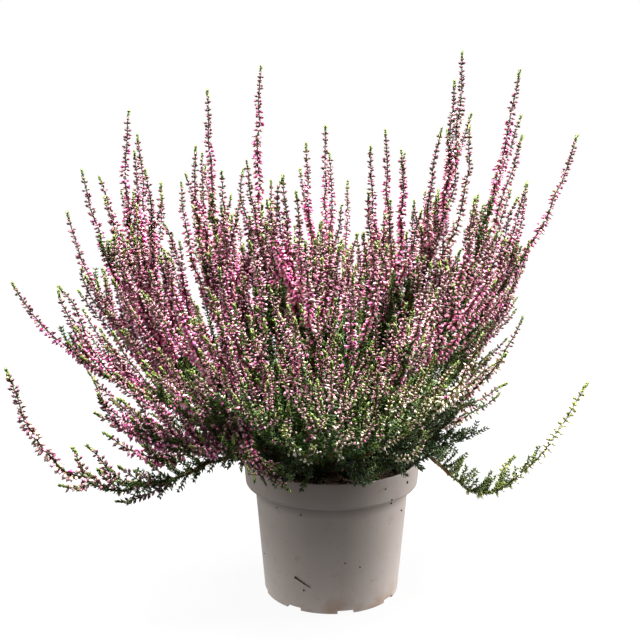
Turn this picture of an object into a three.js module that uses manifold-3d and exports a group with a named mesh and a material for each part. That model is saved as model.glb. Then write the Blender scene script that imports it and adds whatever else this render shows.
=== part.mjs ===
// A heather (Calluna) in bud and flower, standing in its plastic nursery pot.
// Millimetres, +Z up. The origin is the middle of the pot's foot, on the surface it stands on.
//
// The plant is one short woody stock whose limbs fan out from the crown. Every limb ends in a
// flowering spray: a leading raceme with one or two side racemes, all crowded with florets.
// Low leafy shoots, each with three side shoots, fill the foot of the bush. Each spray and each
// leafy shoot is a node of its own and starts a hair's breadth beyond the wood that carries it.

import * as THREE from 'three';
import { mergeVertices } from 'three/addons/utils/BufferGeometryUtils.js';
import Module from 'manifold-3d';

const wasm = await Module();
wasm.setup();

// ---------------------------------------------------------------- driving dimensions

const SEAT_GAP = 0.3; // between two pieces that touch

const POT = {
  height: 95,
  rimRadius: 60, // outside, at the top edge
  bandRadius: 58.5, // outside, at the band's lower edge
  bandHeight: 18,
  neckRadius: 52.4, // outside, just under the band
  footRadius: 46,
  wall: 1.3,
  floorTop: 4.6,
  floorUnderside: 3,
  footRing: 2.6, // width of the ring it stands on
  sides: 28,
};

const NOTCH = { count: 8, width: 11, height: 2.4, firstAngle: 0.2 }; // round the foot
const DRAIN = { count: 8, radius: 4, fromAxis: 34, sides: 8 }; // holes in the floor

const SOIL = { edgeHeight: 82.5, crumb: 1.3, sides: 20, holeRadius: 6.8, holeBottom: 62 };

const STOCK = { radius: 6.4, crownRadius: 9.5, crownHeight: 90, top: 101, sides: 12 };
const CROWN = new THREE.Vector3(0, 0, STOCK.crownHeight);
const LIMB = { from: 5.5, radius: 1.55, endRadius: 1.35, step: 27 };

const STEM = { base: 1.15, tip: 0.75 }; // radius of a flowering stem, below the florets
const FLORET = {
  reach: 4.4, // from the stem's axis to a floret's end, low on the raceme
  tipReach: 1.7, // in the leafy tip
  growth: 62, // length over which the reach grows from the tip down
  spacing: 5.4, // between pairs at the tip
  maxSpacing: 8.4, // and low on the raceme
  youngLength: 38, // of the tip, where the buds still point up
  lift: 0.6, // how far a young bud's end lies ahead of its foot, as a share of the spacing
  nod: 0.45, // how far an open floret hangs back
};
const LEAF_REACH = 2.3; // of the scale leaves below the flowers
const FORK = { half: 1.6, clear: 2.4, firstRing: 5 }; // rings about a fork, along the stem

// The knee of a side stem's curve: how far on along its leader, how far out to the side, and
// how far out at least, the last as a share of the side stem's whole way.
const SIDE_KNEE = { along: 0.25, sideways: 0.75, leastSideways: 0.22 };

const SPRAY_START = 0.43; // of the leader's length from the crown, where its own node begins
const BLOOM_START = 0.5; // and where the florets begin

// Low leafy shoots, one on every flat of the crown. The side shoots are given by where they
// fork, how far they turn about the axis, how far out they reach and how high they rise.
const SHOOTS = { count: 12, reach: 96, reachSpread: 14, rise: 30, riseSpread: 5, knee: 0.42 };
const SIDE_SHOOTS = [
  { fork: 0.45, turn: 0.32, reach: 0.82, rise: 2 },
  { fork: 0.3, turn: -0.14, reach: 0.62, rise: 25 },
  { fork: 0.6, turn: -0.1, reach: 0.95, rise: 26 },
];
const SHOOT_HEIGHT = STOCK.crownHeight - 2;
const SHOOT_LEAF = { reach: 3, tipReach: 1.6, growth: 28, spacing: 8.4, lift: 0.5 };
const SIDE_TURN = { steps: 6, step: 0.05 }; // by which a side shoot looks for more room

// Any direction that no stem runs along: the first ring of a stem is turned towards it.
const RING_START = new THREE.Vector3(0.31, 0.53, 0.79);

const COLOURS = {
  pot: { color: 0x9a9089, roughness: 0.62, metalness: 0 },
  soil: { color: 0x2e241b, roughness: 0.98, metalness: 0 },
  wood: { color: 0x5a4636, roughness: 0.85, metalness: 0 },
  leaf: { color: 0x3f5a2a, roughness: 0.7, metalness: 0 },
  bloom: { color: 0xb4648c, roughness: 0.65, metalness: 0 },
};

// Every spray by the tip of its leading raceme. "spread" and "lift" place the knee of the
// leader's curve, as shares of the way out and of the way up from the crown to the tip. A
// limp spray names the points that it hangs through instead. A side raceme gives where it
// leaves the leader, as a share of the leader's length, and its own tip.
const SPRAYS = [
  // left side, from the tall ones to those that hang over the rim
  { tip: [-132, 10, 325], spread: 1.2, lift: 0.2, sides: [[0.66, -131, 34, 309], [0.6, -118, -20, 289]] },
  { tip: [-160, -10, 288], spread: 0.8, lift: 0.1, sides: [[0.66, -157, 28, 282]] },
  { tip: [-182, 40, 256], spread: 0.85, lift: 0.2, sides: [[0.66, -160, 58, 232]] },
  { tip: [-197, -50, 222], spread: 0.85, lift: 0.44, sides: [[0.72, -171, -40, 218]] },
  {
    tip: [-192, -90, 177],
    through: [[-44, -34, 113], [-99, -58, 99], [-140, -72, 97], [-175, -84, 127]],
    sides: [[0.66, -163, -92, 106], [0.6, -151, -70, 124]],
  },
  { tip: [-136, -110, 176], spread: 0.95, lift: 0.42, sides: [[0.62, -131, -92, 143]] },
  {
    tip: [-140, -70, 132],
    through: [[-40, -21, 107], [-84, -42, 113], [-106, -52, 108], [-123, -62, 117]],
    sides: [[0.6, -130, -42, 127]],
  },
  // the upright ones of the crest, left to right
  { tip: [-87, -10, 303], spread: 1.1, lift: 0.35, sides: [[0.46, -98, 22, 284]] },
  { tip: [-80, 3, 338], spread: 1.0, lift: 0.12, sides: [[0.6, -69, -30, 289]] },
  { tip: [-46, 10, 354], spread: 1.3, lift: 0.3, sides: [[0.56, -54, -20, 295]] },
  { tip: [-31, -30, 286], spread: 0.75, lift: 0.4, sides: [[0.62, -40, -52, 273], [0.58, -22, -60, 278]] },
  { tip: [-17, 20, 304], spread: 0.8, lift: 0.45, sides: [[0.56, 6, -8, 266]] },
  { tip: [-4, 50, 315], spread: 1.25, lift: 0.42, sides: [[0.6, -22, 72, 284]] },
  { tip: [36, 30, 313], spread: 1.3, lift: 0.3, sides: [[0.6, 25, 4, 303]] },
  { tip: [44, -8, 301], spread: 1.2, lift: 0.45, sides: [[0.58, 55, -36, 265], [0.56, 22, -38, 276]] },
  { tip: [81, -10, 362], spread: 1.05, lift: 0.55, sides: [[0.56, 67, -30, 315], [0.5, 91, 12, 323]] },
  { tip: [121, 10, 351], spread: 0.7, lift: 0.1, sides: [[0.54, 128, 38, 322]] },
  { tip: [87, -42, 273], spread: 0.85, lift: 0.2, sides: [[0.6, 104, -58, 250]] },
  { tip: [138, 60, 276], spread: 0.9, lift: 0.18, sides: [[0.62, 122, 34, 272]] },
  { tip: [162, 20, 309], spread: 0.85, lift: 0.5, sides: [[0.6, 121, 0, 270]] },
  { tip: [127, 0, 191], spread: 0.8, lift: 0.25, sides: [[0.46, 113, -30, 153]] },
  {
    tip: [195, 90, 121],
    through: [[46, 22, 110], [70, 34, 84], [90, 44, 62], [119, 60, 45], [160, 77, 70]],
    sides: [[0.62, 142, 92, 62]],
  },
  // the front of the bush, leaning out towards the light
  { tip: [-96, -98, 249], spread: 0.85, lift: 0.3, sides: [[0.6, -112, -84, 222]] },
  { tip: [-64, -112, 240], spread: 0.85, lift: 0.42, sides: [[0.58, -48, -92, 252]] },
  { tip: [-16, -100, 254], spread: 0.8, lift: 0.4, sides: [[0.58, -36, -122, 232]] },
  { tip: [10, -122, 238], spread: 0.85, lift: 0.35, sides: [[0.58, 30, -96, 250]] },
  { tip: [54, -108, 243], spread: 0.8, lift: 0.35, sides: [[0.58, 74, -80, 246]] },
  { tip: [86, -96, 200], spread: 0.8, lift: 0.35, sides: [[0.6, 104, -72, 182]] },
  { tip: [-122, -122, 206], spread: 0.8, lift: 0.35, sides: [[0.6, -98, -138, 186]] },
  { tip: [-54, -162, 206], spread: 0.8, lift: 0.35, sides: [[0.6, -78, -146, 190]] },
  { tip: [-2, -175, 202], spread: 0.8, lift: 0.4, sides: [[0.58, -22, -146, 208]] },
  { tip: [46, -152, 192], spread: 0.8, lift: 0.4, sides: [[0.6, 68, -128, 190]] },
  {
    tip: [-26, -96, 104],
    through: [[-30, -36, 128], [-58, -68, 148], [-55, -82, 130], [-40, -90, 115]],
    sides: [[0.62, -46, -103, 113]],
  },
  { tip: [-28, -140, 158], spread: 0.8, lift: 0.5, sides: [[0.62, -12, -128, 142]] },
  // the back, as full as the front
  { tip: [150, 112, 222], spread: 0.85, lift: 0.3, sides: [[0.6, 134, 132, 190]] },
  { tip: [112, 118, 262], spread: 0.9, lift: 0.25, sides: [[0.6, 128, 96, 236]] },
  { tip: [76, 176, 214], spread: 0.8, lift: 0.35, sides: [[0.6, 100, 158, 190]] },
  { tip: [54, 96, 294], spread: 1.0, lift: 0.3, sides: [[0.6, 74, 118, 252]] },
  { tip: [14, 150, 270], spread: 0.9, lift: 0.3, sides: [[0.6, 36, 162, 236]] },
  { tip: [-44, 96, 274], spread: 1.0, lift: 0.3, sides: [[0.6, -24, 118, 246]] },
  { tip: [-34, 178, 222], spread: 0.8, lift: 0.35, sides: [[0.6, -12, 168, 196]] },
  { tip: [-96, 128, 284], spread: 0.85, lift: 0.3, sides: [[0.6, -74, 142, 246]] },
  { tip: [-118, 142, 188], spread: 0.8, lift: 0.35, sides: [[0.6, -92, 160, 176]] },
  { tip: [-166, 104, 214], spread: 0.85, lift: 0.42, sides: [[0.6, -148, 84, 178]] },
];

// ---------------------------------------------------------------- small helpers

// A repeatable draw between 0 and 1.
function makeDraw(seed) {
  let state = seed;
  return () => {
    state = (state * 1664525 + 1013904223) % 4294967296;
    return state / 4294967296;
  };
}

// The same between -1 and 1.
function spreadDraw(draw) {
  return (draw() - 0.5) * 2;
}

function toSolid(geometry) {
  geometry.deleteAttribute('normal');
  geometry.deleteAttribute('uv');
  const merged = mergeVertices(geometry, 1e-4);
  const mesh = new wasm.Mesh({
    numProp: 3,
    vertProperties: new Float32Array(merged.attributes.position.array),
    triVerts: new Uint32Array(merged.index.array),
  });
  return new wasm.Manifold(mesh);
}

function toGeometry(solid) {
  const mesh = solid.getMesh();
  const geometry = new THREE.BufferGeometry();
  geometry.setAttribute('position', new THREE.BufferAttribute(mesh.vertProperties, 3));
  geometry.setIndex(new THREE.BufferAttribute(mesh.triVerts, 1));
  return geometry;
}

// One body from several that run into each other, cleared of needle-thin scraps.
function fuse(geometries) {
  let whole = toSolid(geometries[0]);
  for (const geometry of geometries.slice(1)) {
    whole = whole.add(toSolid(geometry));
  }
  return toGeometry(whole.simplify(0.1));
}

const group = new THREE.Group();

function addPiece(name, geometry, look) {
  geometry.computeVertexNormals();
  const mesh = new THREE.Mesh(geometry, new THREE.MeshStandardMaterial(COLOURS[look]));
  mesh.name = name;
  group.add(mesh);
  return mesh;
}

// ---------------------------------------------------------------- pot

function latheAboutZ(profile, sides) {
  const points = profile.map(([radius, height]) => new THREE.Vector2(radius, height));
  const geometry = new THREE.LatheGeometry(points, sides);
  return geometry.rotateX(Math.PI / 2);
}

function potBody() {
  const bandFoot = POT.height - POT.bandHeight;
  const shelf = bandFoot + POT.wall;
  const profile = [
    [0, POT.floorUnderside],
    [POT.footRadius - POT.footRing, POT.floorUnderside],
    [POT.footRadius - POT.footRing, 0],
    [POT.footRadius - 0.4, 0],
    [POT.footRadius, 0.8],
    [POT.neckRadius, bandFoot],
    [POT.bandRadius - 1.4, bandFoot],
    [POT.bandRadius, bandFoot + 1.6],
    [POT.rimRadius, POT.height - 0.9],
    [POT.rimRadius - 0.6, POT.height],
    [POT.rimRadius - POT.wall - 0.2, POT.height],
    [POT.bandRadius - POT.wall, shelf + 0.6],
    [POT.neckRadius - POT.wall, shelf],
    [POT.footRadius - POT.wall, POT.floorTop],
    [0, POT.floorTop],
  ];
  return latheAboutZ(profile, POT.sides);
}

function footNotch(index) {
  const angle = NOTCH.firstAngle + (index * 2 * Math.PI) / NOTCH.count;
  const notch = new THREE.BoxGeometry(POT.footRing * 4, NOTCH.width, NOTCH.height * 2);
  notch.translate(POT.footRadius, 0, 0);
  return notch.rotateZ(angle);
}

function drainHole(index) {
  const angle = NOTCH.firstAngle + ((index + 0.5) * 2 * Math.PI) / DRAIN.count;
  const hole = new THREE.CylinderGeometry(DRAIN.radius, DRAIN.radius, 20, DRAIN.sides);
  hole.rotateX(Math.PI / 2);
  hole.translate(DRAIN.fromAxis, 0, 0);
  return hole.rotateZ(angle);
}

function potGeometry() {
  let pot = toSolid(potBody());
  for (let i = 0; i < NOTCH.count; i += 1) {
    pot = pot.subtract(toSolid(footNotch(i)));
  }
  for (let i = 0; i < DRAIN.count; i += 1) {
    pot = pot.subtract(toSolid(drainHole(i)));
  }
  return toGeometry(pot);
}

// ---------------------------------------------------------------- soil

// The peat fills the pot to a little below the rim. Its top is crumbly, and it has a plain
// hole in the middle for the stock.
function soilGeometry() {
  const shelf = POT.height - POT.bandHeight + POT.wall + 0.6;
  const shrink = Math.cos(Math.PI / POT.sides); // the pot's flats lie inside its radius
  const inside = (radius) => (radius - POT.wall) * shrink - SEAT_GAP;
  const edge = SOIL.edgeHeight;
  const profile = [
    [0, POT.floorTop + SEAT_GAP],
    [inside(POT.footRadius), POT.floorTop + SEAT_GAP],
    [inside(POT.neckRadius), shelf + SEAT_GAP],
    [inside(POT.bandRadius) - 0.2, shelf + 2 * SEAT_GAP],
    [inside(POT.bandRadius), edge],
    [44, edge + 0.8],
    [30, edge + 0.4],
    [17, edge + 1.2],
    [SOIL.holeRadius, edge + 1],
    [SOIL.holeRadius, SOIL.holeBottom],
    [0, SOIL.holeBottom],
  ];
  const geometry = latheAboutZ(profile, SOIL.sides);
  geometry.deleteAttribute('normal');
  geometry.deleteAttribute('uv');
  const soil = mergeVertices(geometry, 1e-4);
  const position = soil.attributes.position;
  const draw = makeDraw(7);
  for (let i = 0; i < position.count; i += 1) {
    const fromAxis = Math.hypot(position.getX(i), position.getY(i));
    if (position.getZ(i) > edge && fromAxis > SOIL.holeRadius + 1) {
      position.setZ(i, position.getZ(i) + spreadDraw(draw) * SOIL.crumb);
    }
  }
  return soil;
}

// ---------------------------------------------------------------- lines of the plant

function leaderLine(spray) {
  const tip = new THREE.Vector3(...spray.tip);
  if (spray.through) {
    const way = spray.through.map((point) => new THREE.Vector3(...point));
    return new THREE.CatmullRomCurve3([CROWN, ...way, tip], false, 'catmullrom', 0.5);
  }
  const knee = new THREE.Vector3(
    CROWN.x + spray.spread * (tip.x - CROWN.x),
    CROWN.y + spray.spread * (tip.y - CROWN.y),
    CROWN.z + spray.lift * (tip.z - CROWN.z),
  );
  return new THREE.QuadraticBezierCurve3(CROWN, knee, tip);
}

// A side stem leaves at a slant and bends to run up beside its leader.
function sideLine(leader, fork, tip) {
  const start = leader.getPointAt(fork);
  const along = leader.getTangentAt(fork);
  const way = tip.clone().sub(start);
  const sideways = way.clone().addScaledVector(along, -way.dot(along));
  const out = Math.max(
    SIDE_KNEE.sideways * sideways.length(),
    SIDE_KNEE.leastSideways * way.length(),
  );
  const knee = start.clone().addScaledVector(along, SIDE_KNEE.along * way.length());
  knee.addScaledVector(sideways.normalize(), out);
  return new THREE.QuadraticBezierCurve3(start, knee, tip);
}

// A low leafy shoot leaves a flat of the crown squarely and climbs over the rim.
function shootLine(index, draw) {
  const angle = ((index + 0.5) * 2 * Math.PI) / SHOOTS.count;
  const reach = SHOOTS.reach + spreadDraw(draw) * SHOOTS.reachSpread;
  const rise = SHOOTS.rise + spreadDraw(draw) * SHOOTS.riseSpread;
  const flat = STOCK.crownRadius * Math.cos(Math.PI / STOCK.sides) + SEAT_GAP;
  const away = (radius, height) => new THREE.Vector3(
    radius * Math.cos(angle),
    radius * Math.sin(angle),
    SHOOT_HEIGHT + height,
  );
  const knee = away(reach * SHOOTS.knee, 0);
  return new THREE.QuadraticBezierCurve3(away(flat, 0), knee, away(reach, rise));
}

function shootSideLine(leader, { fork, reach, rise }, turn) {
  const tip = leader.getPointAt(reach).sub(CROWN);
  tip.applyAxisAngle(new THREE.Vector3(0, 0, 1), turn);
  tip.z += rise;
  return sideLine(leader, fork, tip.add(CROWN));
}

// ---------------------------------------------------------------- room between the stems

// Every stem of the plant, as points along its line.
const stemPoints = [];

function noteStem(name, curve, from = 0, to = 1) {
  const steps = Math.ceil((curve.getLength() * (to - from)) / 2.5);
  for (let i = 0; i <= steps; i += 1) {
    stemPoints.push({ name, point: curve.getPointAt(from + ((to - from) * i) / steps) });
  }
}

function distanceToOthers(point, name, carrier) {
  let nearest = Infinity;
  for (const other of stemPoints) {
    if (other.name !== name && other.name !== carrier) {
      nearest = Math.min(nearest, other.point.distanceToSquared(point));
    }
  }
  return Math.sqrt(nearest);
}

// How far a stem's buds may reach out at a point: half way to the nearest other stem. What
// carries a stem end to end is no hindrance to it.
function roomAt(point, name, carrier) {
  return distanceToOthers(point, name, carrier) / 2 - SEAT_GAP;
}

// A side shoot turns to the side where its line keeps farthest from all other stems. The
// distances are taken from a little beyond its fork up to its tip.
function roomiestSideShoot(leader, leaderName, side) {
  const shares = [0.2, 0.35, 0.5, 0.65, 0.8, 1];
  let best = null;
  for (let step = -SIDE_TURN.steps; step <= SIDE_TURN.steps; step += 1) {
    const line = shootSideLine(leader, side, side.turn + step * SIDE_TURN.step);
    const rooms = shares.map((share) => distanceToOthers(line.getPointAt(share), leaderName));
    const room = Math.min(...rooms);
    if (!best || room > best.room) {
      best = { line, room };
    }
  }
  return best.line;
}

// ---------------------------------------------------------------- stems raised into florets

// Where the rings of a stem lie along it: close at the tip, wider lower down, with a narrow
// pair on both sides of each fork.
function ringPlaces(length, from, stepAt, forks) {
  const places = [from];
  for (let at = length; at > from + 2.5; at -= stepAt(length - at)) {
    if (forks.every((fork) => Math.abs(at - fork) > FORK.half + FORK.clear)) {
      places.push(at);
    }
  }
  for (const fork of forks) {
    places.push(fork - FORK.half, fork + FORK.half);
  }
  return places.sort((one, other) => one - other);
}

// Grows a stem about a curve into a body of vertices and faces, and returns its rings. Each
// ring is a square across the curve. Two opposite corners are raised into florets, or leaves,
// at right angles to those of the ring before, so that each is a four-faced bud. A side stem
// grows out of the four corners "root" of a face that its leader leaves open.
function growStem(body, curve, { from = 0, root, forks = [], stepAt, reachAt, slantAt }) {
  const length = curve.getLength();
  const openForks = forks.map((fork) => fork.at * length);
  const places = ringPlaces(length, from * length + (root ? FORK.firstRing : 0), stepAt, openForks);
  const tipPlace = places.pop();
  const rings = root ? [root] : [];
  const across = RING_START.clone();
  if (root) {
    across.subVectors(body.vertices[root[0]], curve.getPointAt(0));
  }
  for (const place of places) {
    const share = place / length;
    const centre = curve.getPointAt(share);
    const ahead = curve.getTangentAt(share);
    across.addScaledVector(ahead, -across.dot(ahead)).normalize();
    const third = new THREE.Vector3().crossVectors(ahead, across);
    const fromTip = tipPlace - place;
    const slant = slantAt(fromTip);
    const slanted = centre.clone().addScaledVector(ahead, slant);
    const atFork = openForks.some((fork) => Math.abs(place - fork) < FORK.half + 0.1);
    const plain = rings.length < 2 || atFork;
    const reaches = [centre, slanted].map((spot) => reachAt(fromTip, share, spot));
    const reach = plain ? 0 : Math.min(...reaches);
    const ring = [];
    for (let corner = 0; corner < 4; corner += 1) {
      const angle = (corner * Math.PI) / 2;
      const raised = reach > 0 && (rings.length + corner) % 2 === 0;
      const radius = raised ? reach : STEM.base + (STEM.tip - STEM.base) * share;
      const vertex = centre.clone();
      vertex.addScaledVector(across, radius * Math.cos(angle));
      vertex.addScaledVector(third, radius * Math.sin(angle));
      if (raised) {
        vertex.addScaledVector(ahead, slant);
      }
      ring.push(body.vertices.push(vertex) - 1);
    }
    rings.push(ring);
  }

  if (!root) {
    const [a, b, c, d] = rings[0];
    body.faces.push([a, c, b], [a, d, c]);
  }
  for (let i = 0; i < rings.length - 1; i += 1) {
    const place = root ? NaN : (places[i] + places[i + 1]) / 2;
    const fork = forks.find(({ at }) => Math.abs(at * length - place) < 0.1);
    const open = fork ? cornerFacing(body, rings[i], rings[i + 1], fork.line) : -1;
    for (let corner = 0; corner < 4; corner += 1) {
      const next = (corner + 1) % 4;
      const [a, b] = [rings[i][corner], rings[i][next]];
      const [d, c] = [rings[i + 1][corner], rings[i + 1][next]];
      if (corner === open) {
        fork.root = [a, b, c, d];
      } else if ((i + corner) % 2 === 0) {
        body.faces.push([a, b, d], [b, c, d]);
      } else {
        body.faces.push([a, b, c], [a, c, d]);
      }
    }
  }
  const last = rings[rings.length - 1];
  const tip = body.vertices.push(curve.getPointAt(1)) - 1;
  for (let corner = 0; corner < 4; corner += 1) {
    body.faces.push([last[corner], last[(corner + 1) % 4], tip]);
  }
}

// Which of the four faces between two rings looks most the way that a side stem leaves.
function cornerFacing(body, ring, nextRing, line) {
  const way = line.getPointAt(0.2).sub(line.getPointAt(0));
  let best = -1;
  let bestDot = -Infinity;
  for (let corner = 0; corner < 4; corner += 1) {
    const next = (corner + 1) % 4;
    const start = body.vertices[ring[corner]];
    const along = new THREE.Vector3().subVectors(body.vertices[nextRing[corner]], start);
    const round = new THREE.Vector3().subVectors(body.vertices[ring[next]], start);
    const outward = round.cross(along).normalize();
    if (outward.dot(way) > bestDot) {
      bestDot = outward.dot(way);
      best = corner;
    }
  }
  return best;
}

function bodyGeometry(body) {
  const geometry = new THREE.BufferGeometry().setFromPoints(body.vertices);
  geometry.setIndex(body.faces.flat());
  return geometry;
}

function floretStep(fromTip) {
  return Math.min(FLORET.spacing + fromTip / 40, FLORET.maxSpacing);
}

function floretReach(fromTip) {
  const grown = Math.min(fromTip / FLORET.growth, 1);
  return FLORET.tipReach + (FLORET.reach - FLORET.tipReach) * Math.sqrt(grown);
}

function floretSlant(fromTip) {
  return floretStep(fromTip) * (fromTip < FLORET.youngLength ? FLORET.lift : -FLORET.nod);
}

// What a stem reaches to where it has the room, and nothing where a bud would be a mere bump.
function reachInRoom(wanted, room) {
  const reach = Math.min(wanted, room);
  return reach > STEM.base + 0.4 ? reach : 0;
}

// A leading stem and its side stems in one body.
function branchGeometry(branch, { from, stepAt, wantedAt, slantAt }) {
  const body = { vertices: [], faces: [] };
  const forks = branch.sides.map(({ fork, line }) => ({ at: fork, line }));
  growStem(body, branch.line, {
    from,
    forks,
    stepAt,
    slantAt,
    reachAt: (fromTip, share, centre) => (
      reachInRoom(wantedAt(fromTip, share), roomAt(centre, branch.name, `limb of ${branch.name}`))
    ),
  });
  branch.sides.forEach(({ name, line }, index) => {
    growStem(body, line, {
      root: forks[index].root,
      stepAt,
      slantAt,
      reachAt: (fromTip, share, centre) => reachInRoom(wantedAt(fromTip, 1), roomAt(centre, name)),
    });
  });
  return bodyGeometry(body);
}

// ---------------------------------------------------------------- the plant

function numbered(name, index) {
  return `${name}_${String(index + 1).padStart(2, '0')}`;
}

const sprays = SPRAYS.map((row, index) => {
  const name = numbered('spray', index);
  const line = leaderLine(row);
  const sides = row.sides.map(([fork, x, y, z], side) => (
    { name: numbered(`${name} side`, side), fork, line: sideLine(line, fork, new THREE.Vector3(x, y, z)) }
  ));
  return { name, line, sides };
});

for (const spray of sprays) {
  noteStem(`limb of ${spray.name}`, spray.line, 0, SPRAY_START);
  noteStem(spray.name, spray.line, SPRAY_START);
  spray.sides.forEach((side) => noteStem(side.name, side.line));
}

const shootDraw = makeDraw(23);
const shoots = [];
for (let i = 0; i < SHOOTS.count; i += 1) {
  shoots.push({ name: numbered('leafy_shoot', i), line: shootLine(i, shootDraw), sides: [] });
}
shoots.forEach((shoot) => noteStem(shoot.name, shoot.line));
for (const shoot of shoots) {
  SIDE_SHOOTS.forEach((side, index) => {
    const name = numbered(`${shoot.name} side`, index);
    const line = roomiestSideShoot(shoot.line, shoot.name, side);
    noteStem(name, line);
    shoot.sides.push({ name, fork: side.fork, line });
  });
}

function sprayGeometry(spray) {
  return branchGeometry(spray, {
    from: SPRAY_START + SEAT_GAP / spray.line.getLength(),
    stepAt: floretStep,
    wantedAt: (fromTip, share) => (share < BLOOM_START ? LEAF_REACH : floretReach(fromTip)),
    slantAt: floretSlant,
  });
}

function shootGeometry(shoot) {
  return branchGeometry(shoot, {
    stepAt: () => SHOOT_LEAF.spacing,
    wantedAt: shootLeafReach,
    slantAt: () => SHOOT_LEAF.spacing * SHOOT_LEAF.lift,
  });
}

function shootLeafReach(fromTip) {
  const grown = Math.min(fromTip / SHOOT_LEAF.growth, 1);
  return SHOOT_LEAF.tipReach + (SHOOT_LEAF.reach - SHOOT_LEAF.tipReach) * grown;
}

// A bare limb, from inside the crown to where its spray begins: a three-sided prism bent
// along the spray's line.
function limbGeometry(line) {
  const length = line.getLength();
  const start = LIMB.from / length;
  const steps = Math.round(((SPRAY_START - start) * length) / LIMB.step);
  const across = RING_START.clone();
  const vertices = [];
  const faces = [[0, 2, 1]];
  for (let i = 0; i <= steps; i += 1) {
    const grown = i / steps;
    const share = start + (SPRAY_START - start) * grown;
    const radius = LIMB.radius + (LIMB.endRadius - LIMB.radius) * grown;
    const centre = line.getPointAt(share);
    const ahead = line.getTangentAt(share);
    across.addScaledVector(ahead, -across.dot(ahead)).normalize();
    for (let corner = 0; corner < 3; corner += 1) {
      const angle = (corner * 2 * Math.PI) / 3;
      const vertex = across.clone().applyAxisAngle(ahead, angle);
      vertices.push(vertex.multiplyScalar(radius).add(centre));
      if (i < steps) {
        const [a, b] = [3 * i + corner, 3 * i + ((corner + 1) % 3)];
        faces.push([a, b, b + 3], [a, b + 3, a + 3]);
      }
    }
  }
  faces.push([3 * steps, 3 * steps + 1, 3 * steps + 2]);
  return bodyGeometry({ vertices, faces });
}

// The stock stands in the hole in the soil and swells into the crown, where all limbs start.
function woodGeometry() {
  const foot = SOIL.holeBottom + SEAT_GAP;
  const crown = STOCK.crownHeight;
  const profile = [
    [0, foot],
    [STOCK.radius - 0.8, foot],
    [STOCK.radius, foot + 6],
    [STOCK.radius, crown - 4.8],
    [STOCK.crownRadius, crown - 3.4],
    [STOCK.crownRadius, crown + 1],
    [STOCK.crownRadius - 2.5, crown + 7],
    [0, STOCK.top],
  ];
  const stock = latheAboutZ(profile, STOCK.sides);
  return fuse([stock, ...sprays.map((spray) => limbGeometry(spray.line))]);
}

addPiece('pot', potGeometry(), 'pot');
addPiece('soil', soilGeometry(), 'soil');
addPiece('wood', woodGeometry(), 'wood');
for (const spray of sprays) {
  addPiece(spray.name, sprayGeometry(spray), 'bloom');
}
for (const shoot of shoots) {
  addPiece(shoot.name, shootGeometry(shoot), 'leaf');
}

export default group;
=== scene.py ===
"""A potted heather in bud and flower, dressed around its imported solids.

The solids give the pot, the peat, the woody stock with its limbs, the flowering sprays and the
low leafy shoots. Each is replaced by a finer piece on the same lines: stems with their scale
leaves, pairs of buds that open into nodding florets lower down, and leafy twigs between them.

All sizes are in millimetres until a mesh is made.
"""

import math

import bpy
import numpy as np
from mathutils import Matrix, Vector


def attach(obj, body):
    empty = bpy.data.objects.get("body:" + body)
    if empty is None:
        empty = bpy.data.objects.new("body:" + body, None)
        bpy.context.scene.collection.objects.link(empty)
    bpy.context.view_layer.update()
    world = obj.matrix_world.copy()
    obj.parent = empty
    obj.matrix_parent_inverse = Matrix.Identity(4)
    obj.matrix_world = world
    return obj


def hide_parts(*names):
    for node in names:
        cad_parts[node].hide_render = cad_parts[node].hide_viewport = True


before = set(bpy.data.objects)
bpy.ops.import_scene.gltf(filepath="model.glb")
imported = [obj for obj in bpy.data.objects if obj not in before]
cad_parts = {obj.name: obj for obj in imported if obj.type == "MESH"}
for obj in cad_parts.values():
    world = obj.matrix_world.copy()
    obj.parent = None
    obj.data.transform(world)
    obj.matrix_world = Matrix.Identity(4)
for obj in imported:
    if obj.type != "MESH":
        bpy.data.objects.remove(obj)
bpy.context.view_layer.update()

MM = 0.001
UP = np.array([0.0, 0.0, 1.0])
SEEDS = {"peat": 5, "shoot_lines": 23, "spray": 100, "shoot": 300}

# ---- driving dimensions

POT = {
    "height": 95.0,
    "rim_radius": 60.0,
    "band_radius": 58.5,
    "band_height": 18.0,
    "neck_radius": 52.4,
    "foot_radius": 46.0,
    "wall": 1.3,
    "floor_top": 4.6,
    "floor_underside": 3.0,
    "foot_ring": 2.6,
    "sides": 168,
}
BAND_FOOT = POT["height"] - POT["band_height"]
NOTCH = {"count": 8, "width": 11.0, "height": 2.4, "first_angle": 0.2}
DRAIN = {"count": 8, "radius": 4.0, "from_axis": 34.0, "sides": 32}

SOIL = {"edge_height": 82.5, "radius": 56.2, "bottom": 62.0, "hole_radius": 6.8}
SOIL_MESH = {"rings": 18, "sides": 72}
SOIL_TOP = {"lift": 0.9, "lumpy": 0.8, "rough": 0.4}
SOIL_LUMPS = ((0.9, 9.0, 0.4), (0.6, 4.1, 1.9), (0.35, 2.0, 3.1))  # height, size and phase
LOOSE_CRUMBS = {"count": 500, "reach": 0.94, "lift": 0.6, "length": (1.4, 4.0), "width": (0.16, 0.42)}
STUCK_CRUMBS = [  # on the pot's outside: turn from the front in degrees, height and length
    (56, 87, 2.6), (35, 88, 1.8), (41, 79, 1.6), (48, 73, 2.2), (65, 63, 2.4), (22, 33, 1.7),
    (10, 37, 1.5), (-23, 16, 2.0), (-30, 24, 2.4), (-70, 30, 1.4), (-23, 70, 1.6), (-44, 71, 1.3),
    (150, 40, 2.2), (118, 66, 1.6), (-132, 22, 1.8), (-160, 84, 2.0), (-100, 58, 1.5),
    (14, 95.5, 2.4), (17, 95.2, 2.8), (20, 94.5, 1.8),
]
STUCK_CRUMB_WIDTH = 0.32  # of its length
STUCK_NEEDLE = {"turn": (-29.5, -17.0), "height": (24.0, 18.5), "radius": 0.4}

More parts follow.
